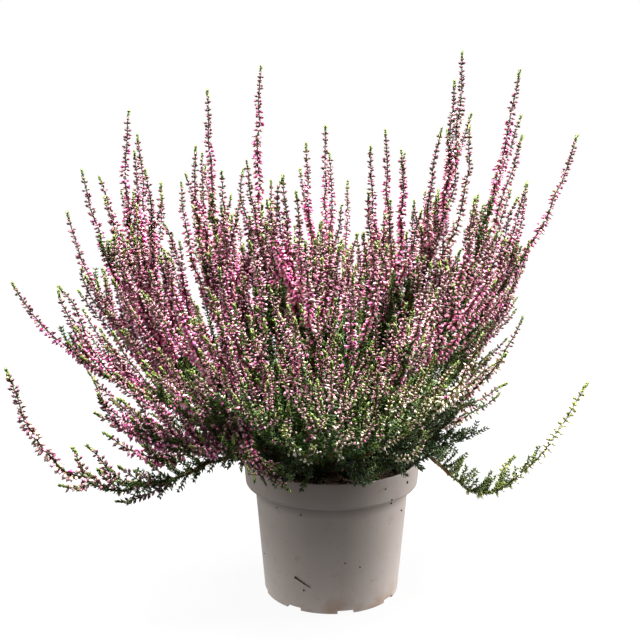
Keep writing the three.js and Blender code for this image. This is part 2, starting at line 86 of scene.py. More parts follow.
STOCK = {
    "radius": 6.4, "crown_radius": 9.5, "crown_height": 90.0, "top": 101.0,
    "sides": 12, "fine_sides": 16,
}
CROWN = np.array([0.0, 0.0, STOCK["crown_height"]])
LIMB = {"from": 5.5, "radius": 1.7, "end_radius": 1.25}
SEAT_GAP = 0.3

SPRAY_START = 0.43  # of the leader's length, where a spray's own node begins
BLOOM_START = 0.5  # and where its florets begin
SIDE_KNEE = {"along": 0.25, "sideways": 0.75, "least_sideways": 0.22}
STEM_STEP = 2.5

# How far stems stray from their plain lines, and the length of stem to one bend.
BENDS = {"leader": 0.7, "side": 0.5, "short": 0.4, "twig": 0.3}
BEND_LENGTH = 38
TURN_ON = 2.4  # radians round a stem, from one short side stem to the next

# Radius at the foot and at the tip, and the length from ring to ring.
STEMS = {
    "leader": (0.95, 0.3, 5),
    "side": (0.65, 0.28, 5),
    "short": (0.5, 0.25, 7),
    "twig": (0.45, 0.22, 7),
    "shoot": (0.8, 0.3, 5),
    "shoot_side": (0.55, 0.3, 5),
}
# Length from place to place, slant from the stem in radians, length of a leaf, and the leaves at
# each place.
LEAVES = {
    "floret": (3.6, 0.8, 2.6, 2),
    "thinned": (1.9, 0.9, 3.6, 3),
    "tip": (1.3, 0.26, 2.6, 3),
    "limb": (2.0, 0.85, 3.0, 3),
    "twig": (1.9, 0.85, 3.4, 4),
    "shoot": (1.9, 0.85, 3.4, 3),
}
RACEME = {
    "tip": 6.5,  # of leaves alone, at the very end
    "tip_fresh": 0.35,  # from dark leaves, 0, to bright ones, 1
    "step": 2.2,  # between pairs near the tip
    "more_step": 1.0,  # and how much more low on the raceme
    "low": 70,  # from the tip, where the step is longest
    "pairs": 14,  # from the tip, to where florets stand in pairs
    "threes": 34,  # and to where they stand in threes
    "thin": 0.15,  # the share of florets left where it is thinnest
}
SHORT_STEM = {"first_fork": 0.26, "least_length": 12, "least_bare": 4}

SHOOTS = {"count": 12, "reach": 96.0, "reach_spread": 14.0, "rise": 30.0, "rise_spread": 5.0}
SHOOT_KNEE = 0.42
SHOOT_HEIGHT = STOCK["crown_height"] - 2
SIDE_SHOOTS = [  # fork, turn, reach and rise
    (0.45, 0.32, 0.82, 2.0),
    (0.3, -0.14, 0.62, 25.0),
    (0.6, -0.1, 0.95, 26.0),
]
SIDE_TURN = {"steps": 6, "step": 0.05}

# Every spray by the tip of its leading raceme, the knee of the leader's curve as shares of the
# way out and of the way up, and its side racemes by their fork and tip. A limp spray has a list
# of the points that it hangs through instead of a knee.
SPRAYS = [
    # left side, from the tall ones to those that hang over the rim
    ((-132, 10, 325), (1.2, 0.2), (0.66, -131, 34, 309), (0.6, -118, -20, 289)),
    ((-160, -10, 288), (0.8, 0.1), (0.66, -157, 28, 282)),
    ((-182, 40, 256), (0.85, 0.2), (0.66, -160, 58, 232)),
    ((-197, -50, 222), (0.85, 0.44), (0.72, -171, -40, 218)),
    (
        (-192, -90, 177),
        [(-44, -34, 113), (-99, -58, 99), (-140, -72, 97), (-175, -84, 127)],
        (0.66, -163, -92, 106),
        (0.6, -151, -70, 124),
    ),
    ((-136, -110, 176), (0.95, 0.42), (0.62, -131, -92, 143)),
    (
        (-140, -70, 132),
        [(-40, -21, 107), (-84, -42, 113), (-106, -52, 108), (-123, -62, 117)],
        (0.6, -130, -42, 127),
    ),
    # the crown of the bush, from left to right
    ((-87, -10, 303), (1.1, 0.35), (0.46, -98, 22, 284)),
    ((-80, 3, 338), (1.0, 0.12), (0.6, -69, -30, 289)),
    ((-46, 10, 354), (1.3, 0.3), (0.56, -54, -20, 295)),
    ((-31, -30, 286), (0.75, 0.4), (0.62, -40, -52, 273), (0.58, -22, -60, 278)),
    ((-17, 20, 304), (0.8, 0.45), (0.56, 6, -8, 266)),
    ((-4, 50, 315), (1.25, 0.42), (0.6, -22, 72, 284)),
    ((36, 30, 313), (1.3, 0.3), (0.6, 25, 4, 303)),
    ((44, -8, 301), (1.2, 0.45), (0.58, 55, -36, 265), (0.56, 22, -38, 276)),
    ((81, -10, 362), (1.05, 0.55), (0.56, 67, -30, 315), (0.5, 91, 12, 323)),
    ((121, 10, 351), (0.7, 0.1), (0.54, 128, 38, 322)),
    ((87, -42, 273), (0.85, 0.2), (0.6, 104, -58, 250)),
    ((138, 60, 276), (0.9, 0.18), (0.62, 122, 34, 272)),
    ((162, 20, 309), (0.85, 0.5), (0.6, 121, 0, 270)),
    ((127, 0, 191), (0.8, 0.25), (0.46, 113, -30, 153)),
    (
        (195, 90, 121),
        [(46, 22, 110), (70, 34, 84), (90, 44, 62), (119, 60, 45), (160, 77, 70)],
        (0.62, 142, 92, 62),
    ),
    # the front, from left to right
    ((-96, -98, 249), (0.85, 0.3), (0.6, -112, -84, 222)),
    ((-64, -112, 240), (0.85, 0.42), (0.58, -48, -92, 252)),
    ((-16, -100, 254), (0.8, 0.4), (0.58, -36, -122, 232)),
    ((10, -122, 238), (0.85, 0.35), (0.58, 30, -96, 250)),
    ((54, -108, 243), (0.8, 0.35), (0.58, 74, -80, 246)),
    ((86, -96, 200), (0.8, 0.35), (0.6, 104, -72, 182)),
    ((-122, -122, 206), (0.8, 0.35), (0.6, -98, -138, 186)),
    ((-54, -162, 206), (0.8, 0.35), (0.6, -78, -146, 190)),
    ((-2, -175, 202), (0.8, 0.4), (0.58, -22, -146, 208)),
    ((46, -152, 192), (0.8, 0.4), (0.6, 68, -128, 190)),
    (
        (-26, -96, 104),
        [(-30, -36, 128), (-58, -68, 148), (-55, -82, 130), (-40, -90, 115)],
        (0.62, -46, -103, 113),
    ),
    ((-28, -140, 158), (0.8, 0.5), (0.62, -12, -128, 142)),
    # the right side and the back
    ((150, 112, 222), (0.85, 0.3), (0.6, 134, 132, 190)),
    ((112, 118, 262), (0.9, 0.25), (0.6, 128, 96, 236)),
    ((76, 176, 214), (0.8, 0.35), (0.6, 100, 158, 190)),
    ((54, 96, 294), (1.0, 0.3), (0.6, 74, 118, 252)),
    ((14, 150, 270), (0.9, 0.3), (0.6, 36, 162, 236)),
    ((-44, 96, 274), (1.0, 0.3), (0.6, -24, 118, 246)),
    ((-34, 178, 222), (0.8, 0.35), (0.6, -12, 168, 196)),
    ((-96, 128, 284), (0.85, 0.3), (0.6, -74, 142, 246)),
    ((-118, 142, 188), (0.8, 0.35), (0.6, -92, 160, 176)),
    ((-166, 104, 214), (0.85, 0.42), (0.6, -148, 84, 178)),
]

# More racemes of a spray, by their fork, knee and tip.
MORE_RACEMES = {
    1: [(0.6, (-130, 22, 262), (-131, 20, 299)), (0.35, (-96, 1, 226), (-110, 0, 253))],
    3: [(0.42, (-171, 4, 204), (-165, 0, 223))],
    4: [(0.7, (-164, -45, 192), (-170, -45, 216))],
    5: [(0.45, (-121, -60, 83), (-135, -68, 87))],
    6: [
        (0.5, (-125, -72, 138), (-146, -80, 173)),
        (0.45, (-123, -62, 158), (-132, -70, 170)),
        (0.5, (-130, -102, 134), (-134, -110, 168)),
        (0.45, (-128, -100, 171), (-131, -104, 178)),
    ],
    8: [
        (0.5, (-98, 14, 216), (-101, 24, 278)),
        (0.42, (-93, 11, 238), (-85, 10, 274)),
        (0.6, (-86, -3, 288), (-83, -5, 299)),
    ],
    10: [(0.5, (-64, -19, 276), (-56, -10, 289))],
    11: [(0.6, (-40, -34, 275), (-31.5, -30, 283))],
    13: [(0.5, (3, 38, 280), (-2, 40, 297))],
    16: [
        (0.45, (94, 11, 244), (89, 8, 316)),
        (0.5, (78, -14, 270), (73, -10, 313)),
        (0.55, (80, -8, 268), (80, -8, 301)),
        (0.7, (76.5, -7, 330), (77, -8, 344)),
    ],
    17: [(0.5, (109, 19, 242), (126, 20, 309))],
    20: [(0.5, (119, 8, 235), (128, 10, 278))],
    21: [(0.35, (92, -30, 128), (108, -30, 146))],
    28: [(0.22, (56, -66, 105), (55, -80, 136))],
    32: [(0.22, (-3, -107, 124), (7, -120, 149))],
    34: [(0.4, (-50, -124, 145), (-40, -135, 164))],
}

COMMON_LOOK = {
    "pale": 0.08,  # from pink florets, 0, to cream ones, 1
    "vivid": 0.5,  # from soft pink, 0, to magenta, 1
    "size": 1.0,  # of the florets
    "space": 1.0,  # between them
    "growth": 60,  # over which a bud grows from the tip down
    "full": 80,  # of a raceme from its tip, where florets crowd it
    "thins_over": 35,  # below that, the way down to its thinnest
    "fresh": 0.3,  # from dark leaves, 0, to bright ones, 1
    "apart": 5.5,  # from one short side raceme to the next
    "longest": 85,  # of the short side racemes
    "bare_top": 40,  # of the leader, above their tips
    "last_fork": 0.8,
    "rise": 0.5,  # how much they turn up
    "hangs": False,  # whether they may also turn down
    "twig": 24,  # the length of a leafy twig on the limb
    "limp": False,  # whether the limb's leafy twigs may turn down
    "leafy_to": 0.5,  # of the leader's length, where its leafy twigs end
    "leafy_apart": 8,
}
LIMP_LOOK = {
    "size": 1.2, "apart": 8, "longest": 20, "bare_top": 60, "rise": 0.8,
    "twig": 8.5, "limp": True, "leafy_to": 0.56, "leafy_apart": 2.5,
}
SOFT_LOOK = {"pale": 0.14, "vivid": 0.1}
PALE_LOOK = {"vivid": 0.1, "space": 1.4, "fresh": 0.5, "growth": 40, "full": 45}
SHORT_LOOK = {"full": 42, "thins_over": 25, "size": 0.9}
FRONT_LOOK = {
    "size": 0.78, "space": 1.2, "growth": 40, "full": 20, "thins_over": 16, "apart": 7.5,
    "fresh": 0.18,
}
LOOKS = {
    1: {"vivid": 0.8, "bare_top": 50},
    4: {"vivid": 0.9, "longest": 60, "apart": 4.5, "rise": 0.4, "full": 60},
    5: {**LIMP_LOOK, "pale": 0.2, "vivid": 0.4},
    6: {
        "pale": 0, "vivid": 0.7, "bare_top": 20, "apart": 4.5, "longest": 50, "rise": 0.3,
        "full": 36, "thins_over": 25,
    },
    7: {**LIMP_LOOK, "pale": 0, "vivid": 1, "apart": 4, "bare_top": 18, "growth": 40},
    9: {"bare_top": 65},
    10: {"bare_top": 85},
    12: {"bare_top": 55},
    13: {"bare_top": 65},
    14: {"bare_top": 65},
    15: {"bare_top": 55},
    16: {**SOFT_LOOK, "bare_top": 80},
    17: {**SOFT_LOOK, "bare_top": 80},
    20: {**SOFT_LOOK, "bare_top": 70, "fresh": 0.4, "longest": 55},
    21: {**PALE_LOOK, "pale": 0.5, "bare_top": 25, "longest": 50},
    22: {
        **LIMP_LOOK, "pale": 1.5, "vivid": 0, "space": 1.8, "size": 1.35, "fresh": 0.9,
        "apart": 12, "longest": 15, "twig": 13, "limp": False, "leafy_to": 0.64, "leafy_apart": 4.2,
    },
    23: {"pale": 0.05, "vivid": 1, "full": 60},
    24: SHORT_LOOK,
    25: {**SHORT_LOOK, "vivid": 0.6},
    26: {**SHORT_LOOK, "vivid": 0.7},
    27: {**SHORT_LOOK, "pale": 0.2},
    28: {**PALE_LOOK, "pale": 0.8, "size": 0.85},
    29: {"pale": 0, "vivid": 0.4, "full": 26, "thins_over": 20, "size": 0.85},
    30: {**FRONT_LOOK, "pale": 0.3},
    31: {**FRONT_LOOK, "pale": 0.45, "vivid": 0.4},
    32: {**PALE_LOOK, **FRONT_LOOK, "pale": 0.6},
    33: {
        "pale": 0.25, "vivid": 0.45, "growth": 30, "apart": 2.5, "longest": 16,
        "bare_top": 2, "last_fork": 0.97, "rise": 0, "hangs": True, "twig": 12,
    },
    34: {**PALE_LOOK, **FRONT_LOOK, "pale": 0.9, "full": 12, "apart": 8},
    36: {"bare_top": 55},
    38: {"bare_top": 55},
    42: {"bare_top": 60},
}

FLOOR_HALF_WIDTH = 4000
FLOOR_COLOUR = (0.03, 0.03, 0.03, 1)
WHITE = (1, 1, 1, 1)
# The floor's glow, as the camera sees it and as it lights the plant: distances from the pot's axis in
# metres, and the glow there. The glow that the camera sees is a little dimmer close to the pot, as a
# painted soft shadow round it.
SEEN_GLOW = (0.06, 0.3, 0.94, 1.0)
LIT_GLOW = (0.05, 0.22, 1.15, 0.05)
STUDIO = {"strength": 0.3, "shade": (-0.5, 0.6, 0.02, 1.0)}
LIGHTS = [  # name, place, width and height, and power
    ("above", (40, -60, 1450), (700, 700), 110),
    ("right", (1300, 350, 450), (900, 1200), 52),
    ("left", (-1300, 250, 450), (700, 1000), 10),
]
LIGHTS_AIM = (0, 0, 150)
CAMERA = {"at": (-7.88, -704.6, 329.8), "looks_down": 11.345, "sensor_width": 36.0, "lens": 60.75}

# ---- lines


def unit(vectors):
    return vectors / np.linalg.norm(vectors, axis=-1, keepdims=True)


class Line:
    """A curve in space that is read by the share of its length."""

    def __init__(self, points):
        self.points = np.asarray(points, dtype=float)
        steps = np.linalg.norm(np.diff(self.points, axis=0), axis=1)
        self.travelled = np.concatenate([[0.0], np.cumsum(steps)])
        self.length = self.travelled[-1]
        spread = np.abs(np.diff(self.points, axis=0)).max(axis=0)
        self.beside = np.eye(3)[np.argmin(spread)]

    def at(self, share):
        travelled = np.clip(share, 0, 1) * self.length
        columns = [np.interp(travelled, self.travelled, column) for column in self.points.T]
        return np.stack(columns, axis=-1)

    def ahead(self, share):
        step = 0.01
        share = np.clip(share, step, 1 - step)
        return unit(self.at(share + step) - self.at(share - step))

    def sides(self, share):
        """Two directions that are square to the line and to each other."""
        ahead = self.ahead(share)
        across = unit(self.beside - ahead * (ahead @ self.beside)[..., None])
        return across, np.cross(ahead, across)

    def outward(self, share, turn):
        """The directions straight out of the line, by their turn round it."""
        across, third = self.sides(share)
        return np.cos(turn)[:, None] * across + np.sin(turn)[:, None] * third


def bow(start, knee, tip):
    t = np.linspace(0, 1, 201)[:, None]
    return Line((1 - t) ** 2 * start + 2 * t * (1 - t) * knee + t**2 * tip)


def limp(points):
    """A smooth curve through points: a Catmull-Rom spline whose ends are mirrored."""
    points = np.array(points, dtype=float)
    points = np.vstack([2 * points[0] - points[1], points, 2 * points[-1] - points[-2]])
    t = np.linspace(0, 1, 81)[:, None]
    parts = []
    for before, start, end, after in zip(points, points[1:], points[2:], points[3:]):
        leave = (end - before) / 2
        arrive = (after - start) / 2
        part = (2 * t**3 - 3 * t**2 + 1) * start + (t**3 - 2 * t**2 + t) * leave
        part = part + (3 * t**2 - 2 * t**3) * end + (t**3 - t**2) * arrive
        parts.append(part[:-1])
    return Line(np.vstack(parts + [points[-2:-1]]))


def leader_line(tip, way):
    """A spray's leading stem, by its knee or by the list of points that it hangs through."""
    tip = np.array(tip, dtype=float)
    if isinstance(way, list):
        return limp([CROWN, *way, tip])
    spread, lift = way
    return bow(CROWN, CROWN + (tip - CROWN) * np.array([spread, spread, lift]), tip)


def side_line(leader, fork, tip):
    """A side stem leaves at a slant and bends to run up beside its leader."""
    start = leader.at(fork)
    along = leader.ahead(fork)
    way = tip - start
    sideways = way - along * (way @ along)
    out = max(
        SIDE_KNEE["sideways"] * np.linalg.norm(sideways),
        SIDE_KNEE["least_sideways"] * np.linalg.norm(way),
    )
    knee = start + along * SIDE_KNEE["along"] * np.linalg.norm(way) + unit(sideways) * out
    return bow(start, knee, tip)


def crooked(line, draw, kind):
    """The same line with the small bends that a grown stem has, and both ends kept."""
    share = line.travelled / line.length
    bends = max(1.0, line.length / BEND_LENGTH)
    fade = np.minimum(1, 6 * share * (1 - share))
    for side in line.sides(share):
        phase = draw.uniform(0, 2 * math.pi)
        wave = np.sin(2 * math.pi * bends * share + phase) + 0.5 * np.sin(11.3 * bends * share + phase)
        line = Line(line.points + side * (BENDS[kind] * fade * wave)[:, None])
    return line


# ---- low leafy shoots


def number_draw(seed):
    """The same repeatable draw between -1 and 1 that the solids use."""
    state = seed
    while True:
        state = (state * 1664525 + 1013904223) % 4294967296
        yield (state / 4294967296 - 0.5) * 2


def stem_samples(line, start=0.0, end=1.0):
    steps = math.ceil(line.length * (end - start) / STEM_STEP)
    return line.at(np.linspace(start, end, steps + 1))


def shoot_line(index, draw):
    angle = (index + 0.5) * 2 * math.pi / SHOOTS["count"]
    reach = SHOOTS["reach"] + next(draw) * SHOOTS["reach_spread"]
    rise = SHOOTS["rise"] + next(draw) * SHOOTS["rise_spread"]
    flat = STOCK["crown_radius"] * math.cos(math.pi / STOCK["sides"]) + SEAT_GAP

    def away(radius, height):
        return np.array([radius * math.cos(angle), radius * math.sin(angle), SHOOT_HEIGHT + height])

    return bow(away(flat, 0), away(reach * SHOOT_KNEE, 0), away(reach, rise))


def shoot_side_line(leader, fork, reach, rise, turn):
    way = leader.at(reach) - CROWN
    turned = np.array([
        way[0] * math.cos(turn) - way[1] * math.sin(turn),
        way[0] * math.sin(turn) + way[1] * math.cos(turn),
        way[2] + rise,
    ])
    return side_line(leader, fork, turned + CROWN)


def roomiest(leader, name, side, stems):
    """A side shoot turns to where its line keeps farthest from all other stems."""
    fork, turn, reach, rise = side
    others = np.vstack([points for other, points in stems.items() if other != name])
    shares = np.array([0.2, 0.35, 0.5, 0.65, 0.8, 1.0])
    best_line, best_room = None, -1.0
    for step in range(-SIDE_TURN["steps"], SIDE_TURN["steps"] + 1):
        line = shoot_side_line(leader, fork, reach, rise, turn + step * SIDE_TURN["step"])
        gaps = np.linalg.norm(line.at(shares)[:, None] - others[None], axis=2)
        if gaps.min() > best_room:
            best_line, best_room = line, gaps.min()
    return best_line


def plant_lines():
    """Leaders and side lines of all sprays, then those of the leafy shoots."""
    sprays = []
    stems = {}
    for index, (tip, way, *side_tips) in enumerate(SPRAYS):
        leader = leader_line(tip, way)
        sides = [side_line(leader, fork, np.array(end, float)) for fork, *end in side_tips]
        sprays.append((leader, sides))
        stems[f"limb_{index}"] = stem_samples(leader, 0, SPRAY_START)
        stems[f"spray_{index}"] = stem_samples(leader, SPRAY_START)
        for number, side in enumerate(sides):
            stems[f"spray_{index}_{number}"] = stem_samples(side)
    draw = number_draw(SEEDS["shoot_lines"])
    shoots = [(shoot_line(index, draw), []) for index in range(SHOOTS["count"])]
    for index, (leader, sides) in enumerate(shoots):
        stems[f"shoot_{index}"] = stem_samples(leader)
    for index, (leader, sides) in enumerate(shoots):
        for number, side in enumerate(SIDE_SHOOTS):
            line = roomiest(leader, f"shoot_{index}", side, stems)
            stems[f"shoot_{index}_{number}"] = stem_samples(line)
            sides.append(line)
    return sprays, shoots


# ---- faces of a piece

SHARES = ("along", "age", "tone", "pale")


class Growth:
    """Collects the corners and faces of one piece, with the shares that its shaders read."""

    def __init__(self):
        self.corners = []
        self.faces = []
        self.looks = []
        self.shares = {name: [] for name in SHARES}
        self.count = 0

    def add(self, corners, faces, look, **shares):
        self.faces.append(np.asarray(faces) + self.count)
        self.looks.append(np.full(len(faces), look))
        self.corners.append(corners)
        self.count += len(corners)
        for name in SHARES:
            self.shares[name].append(np.broadcast_to(shares.get(name, 0.5), len(corners)))

    def piece(self, name, materials):
        mesh = bpy.data.meshes.new(name)
        corners = np.vstack(self.corners) * MM
        faces = np.vstack(self.faces).astype(np.int32)
        mesh.vertices.add(len(corners))
        mesh.vertices.foreach_set("co", corners.ravel())
        mesh.loops.add(faces.size)
        mesh.loops.foreach_set("vertex_index", faces.ravel())
        mesh.polygons.add(len(faces))
        mesh.polygons.foreach_set("loop_start", np.arange(0, faces.size, 3, dtype=np.int32))
        for material in materials:
            mesh.materials.append(material)
        mesh.polygons.foreach_set("material_index", np.concatenate(self.looks).astype(np.int32))
        for share in SHARES:
            layer = mesh.attributes.new(share, "FLOAT", "POINT")
            layer.data.foreach_set("value", np.concatenate(self.shares[share]).astype(np.float32))
        mesh.update(calc_edges=True)
        mesh.shade_smooth()
        return add_object(name, mesh)


def add_object(name, data):
    piece = bpy.data.objects.new(name, data)
    bpy.context.scene.collection.objects.link(piece)
    return piece


def around(sides):
    """Every side of a ring, with the one after it."""
    return [(side, (side + 1) % sides) for side in range(sides)]


def spindle(rings, sides):
    """Corners and faces of a closed body along z, pointed at 0 and 1, given by its rings."""
    corners = [(0.0, 0.0, 0.0)]
    for number, (height, radius) in enumerate(rings):
        for side in range(sides):
            angle = 2 * math.pi * (side + 0.5 * (number % 2)) / sides
            corners.append((radius * math.cos(angle), radius * math.sin(angle), height))
    tip = len(corners)
    corners.append((0.0, 0.0, 1.0))
    faces = []
    for side, after in around(sides):
        faces.append((0, 1 + after, 1 + side))
        for number in range(len(rings) - 1):
            low = 1 + number * sides
            high = low + sides
            if number % 2 == 0:
                faces.append((low + side, low + after, high + side))
                faces.append((low + after, high + after, high + side))
            else:
                faces.append((low + side, high + after, high + side))
                faces.append((low + side, low + after, high + after))
        top = 1 + (len(rings) - 1) * sides
        faces.append((top + side, top + after, tip))
    return np.array(corners), np.array(faces)


BUD = spindle([(0.25, 0.5), (0.62, 1.0)], 4)
YOUNG_BUD = spindle([(0.55, 1.0)], 4)
CRUMB = spindle([(0.3, 1.0), (0.7, 0.8)], 5)

# A keeled scale leaf: two corners at its foot, its keel and its tip.
LEAF = (
    np.array([(-1.0, 0.3, 0.3), (1.0, 0.3, 0.3), (0.0, -0.6, 0.2), (0.0, 0.0, 1.0)]),
    np.array([(0, 2, 1), (0, 1, 3), (1, 2, 3), (2, 0, 3)]),
)


def copies(growth, template, look, at, axis, across, length, width, **shares):
    """A copy of a template at every place, with z along its axis and x across it."""
    corners, faces = template
    across = unit(across - axis * np.sum(across * axis, axis=1)[:, None])
    third = np.cross(axis, across)
    x, y, z = (column[None, :, None] for column in corners.T)
    placed = at[:, None] + x * (across * width[:, None])[:, None]
    placed = placed + y * (third * width[:, None])[:, None] + z * (axis * length[:, None])[:, None]
    count = len(corners)
    numbered = faces[None] + (np.arange(len(at)) * count)[:, None, None]
    spread = {name: np.repeat(np.broadcast_to(value, len(at)), count) for name, value in shares.items()}
    spread["along"] = np.tile(corners[:, 2], len(at))
    growth.add(placed.reshape(-1, 3), numbered.reshape(-1, 3), look, **spread)


def tube(growth, line, look, radius, end_radius, step, sides=4, start=0.0, end=1.0, **shares):
    """A stem round a line, closed at both ends."""
    count = max(3, math.ceil(line.length * (end - start) / step))
    share = np.linspace(start, end, count + 1)
    centre = line.at(share)
    across, third = line.sides(share)
    grown = (share - start) / (end - start)
    radii = radius + (end_radius - radius) * grown
    angles = 2 * math.pi * np.arange(sides) / sides
    rings = centre[:, None] + radii[:, None, None] * (
        np.cos(angles)[None, :, None] * across[:, None] + np.sin(angles)[None, :, None] * third[:, None]
    )
    corners = np.vstack([rings.reshape(-1, 3), centre[:1], centre[-1:]])
    first, last = len(corners) - 2, len(corners) - 1
    low = np.arange(count) * sides
    faces = []
    for side, after in around(sides):
        faces.append(np.stack([low + side, low + after, low + sides + side], axis=1))
        faces.append(np.stack([low + after, low + sides + after, low + sides + side], axis=1))
        faces.append([[after, side, first]])
        faces.append([[count * sides + side, count * sides + after, last]])
    along = np.concatenate([np.repeat(grown, sides), [0.0, 1.0]])
    growth.add(corners, np.vstack(faces), look, along=along, **shares)


def ring_faces(rings, sides):
    """Faces of a closed body of rings, whose last two corners close its first and last ring."""
    first, last = rings * sides, rings * sides + 1
    top = (rings - 1) * sides
    faces = []
    for side, after in around(sides):
        faces.append((first, after, side))
        for low in range(0, top, sides):
            faces.append((low + side, low + after, low + sides + after, low + sides + side))
        faces.append((top + side, top + after, last))
    return faces


def triangles(faces):
    """The same faces, cut into triangles from their first corner."""
    return [(face[0], *pair) for face in faces for pair in zip(face[1:], face[2:])]


# ---- materials


def srgb(red, green, blue):
    """A screen colour, 0 to 255, as the linear light that a shader takes."""
    values = np.array([red, green, blue]) / 255
    linear = np.where(values <= 0.04045, values / 12.92, ((values + 0.055) / 1.055) ** 2.4)
    return (*linear.tolist(), 1.0)


class NodeTree:
    """The nodes of a material or a world, with short ways to add the ones used here."""

    def __init__(self, owner):
        owner.use_nodes = True
        self.nodes = owner.node_tree.nodes
        self.links = owner.node_tree.links

    def feed(self, socket, value):
        if isinstance(value, bpy.types.NodeSocket):
            self.links.new(value, socket)
        else:
            socket.default_value = value

    def add(self, kind, *inputs):
        """A new node, with pairs of a socket's name or number and what it is fed."""
        node = self.nodes.new(f"ShaderNode{kind}")
        for name, value in inputs:
            self.feed(node.inputs[name], value)
        return node

    def math(self, kind, first, second):
        node = self.add("Math", (0, first), (1, second))
        node.operation = kind
        return node.outputs[0]

    def stretch(self, value, low, high, to_low=0.0, to_high=1.0):
        ends = ("From Min", low), ("From Max", high), ("To Min", to_low), ("To Max", to_high)
        return self.add("MapRange", ("Value", value), *ends).outputs["Result"]

    def height(self, place):
        return self.add("SeparateXYZ", ("Vector", place)).outputs["Z"]

    def seen(self):
        """1 for what the camera sees of this, and 0 for how it lights the rest."""
        return self.add("LightPath").outputs["Is Camera Ray"]


class Shader(NodeTree):
    """A material, with the textures and mixes that colour it."""

    def __init__(self, name, roughness, specular):
        self.material = bpy.data.materials.new(name)
        super().__init__(self.material)
        self.surface = self.nodes["Principled BSDF"]
        self.surface.inputs["Roughness"].default_value = roughness
        self.surface.inputs["Specular IOR Level"].default_value = specular
        self.place = self.add("TexCoord").outputs["Object"]

    def read(self, share):
        node = self.add("Attribute")
        node.attribute_name = share
        return node.outputs["Fac"]

    def noise(self, size, detail=2.0):
        """Noise from 0 to 1 whose lumps are about this many millimetres across."""
        scale = 1 / (size * MM)
        node = self.add("TexNoise", ("Vector", self.place), ("Scale", scale), ("Detail", detail))
        return node.outputs["Fac"]

    def mix(self, factor, first, second):
        node = self.add("Mix")
        node.data_type = "RGBA"
        for number, value in ((0, factor), (6, first), (7, second)):
            self.feed(node.inputs[number], value)
        return node.outputs[2]

    def ramp(self, value, *stops):
        """A colour by a value, from stops of a position and a screen colour."""
        node = self.add("ValToRGB", ("Fac", value))
        elements = node.color_ramp.elements
        for number, (position, *colour) in enumerate([stops[0], stops[-1], *stops[1:-1]]):
            element = elements[number] if number < 2 else elements.new(position)
            element.position = position
            element.color = srgb(*colour)
        return node.outputs["Color"]

    def colour(self, socket):
        self.links.new(socket, self.surface.inputs["Base Color"])

    def bump(self, height, strength, depth):
        node = self.add("Bump", ("Height", height), ("Strength", strength), ("Distance", depth * MM))
        self.links.new(node.outputs["Normal"], self.surface.inputs["Normal"])


def floret_material():
    """Green-brown bracts at a bud's foot, then pink, then a pale tip; young buds are dusky."""
    shader = Shader("heather_floret", 0.5, 0.35)
    along, age, tone, pale = (shader.read(share) for share in SHARES)
    vivid = shader.ramp(
        along,
        (0.2, 84, 60, 40), (0.32, 152, 34, 96), (0.58, 214, 68, 146),
        (0.75, 242, 142, 196), (0.88, 255, 230, 240), (1.0, 255, 252, 252),
    )
    soft = shader.ramp(
        along,
        (0.2, 90, 76, 46), (0.32, 134, 54, 74), (0.56, 196, 94, 128),
        (0.72, 240, 166, 184), (0.85, 255, 242, 236), (1.0, 255, 255, 250),
    )
    cream = shader.ramp(
        along,
        (0.2, 74, 92, 36), (0.34, 126, 132, 64), (0.5, 228, 220, 172),
        (0.66, 255, 252, 232), (1.0, 255, 255, 246),
    )
    young = shader.ramp(
        along,
        (0.2, 82, 70, 50), (0.4, 106, 68, 72), (0.72, 152, 96, 112), (1.0, 208, 160, 172),
    )
    young_cream = shader.ramp(along, (0.2, 84, 92, 40), (0.6, 140, 146, 76), (1.0, 226, 222, 160))
    young = shader.mix(shader.stretch(pale, 0.5, 0.9), young, young_cream)
    grown = shader.mix(shader.stretch(tone, 0.25, 0.8), vivid, soft)
    grown = shader.mix(pale, grown, cream)
    shader.colour(shader.mix(shader.stretch(age, 0.24, 0.6), young, grown))
    return shader.material


def leaf_material():
    shader = Shader("heather_leaf", 0.5, 0.4)
    age, tone = shader.read("age"), shader.read("tone")
    old = shader.mix(tone, srgb(26, 52, 14), srgb(78, 114, 36))
    fresh = shader.mix(tone, srgb(122, 134, 52), srgb(170, 178, 88))
    shader.colour(shader.mix(age, old, fresh))
    return shader.material


def stem_material():
    """Brown where a stem is woody, and olive further up where it is young."""
    shader = Shader("heather_stem", 0.65, 0.3)
    bark = shader.ramp(
        shader.read("age"),
        (0.0, 92, 66, 50), (0.45, 126, 82, 58), (0.8, 82, 76, 50), (1.0, 98, 92, 56),
    )
    shader.colour(shader.mix(shader.noise(1.5), bark, srgb(66, 50, 38)))
    return shader.material


def bark_material():
    shader = Shader("heather_bark", 0.85, 0.25)
    streaks = shader.noise(2.2, 6.0)
    shader.colour(shader.ramp(streaks, (0.3, 66, 46, 34), (0.5, 118, 80, 56), (0.75, 176, 124, 86)))
    shader.bump(streaks, 0.8, 0.6)
    return shader.material


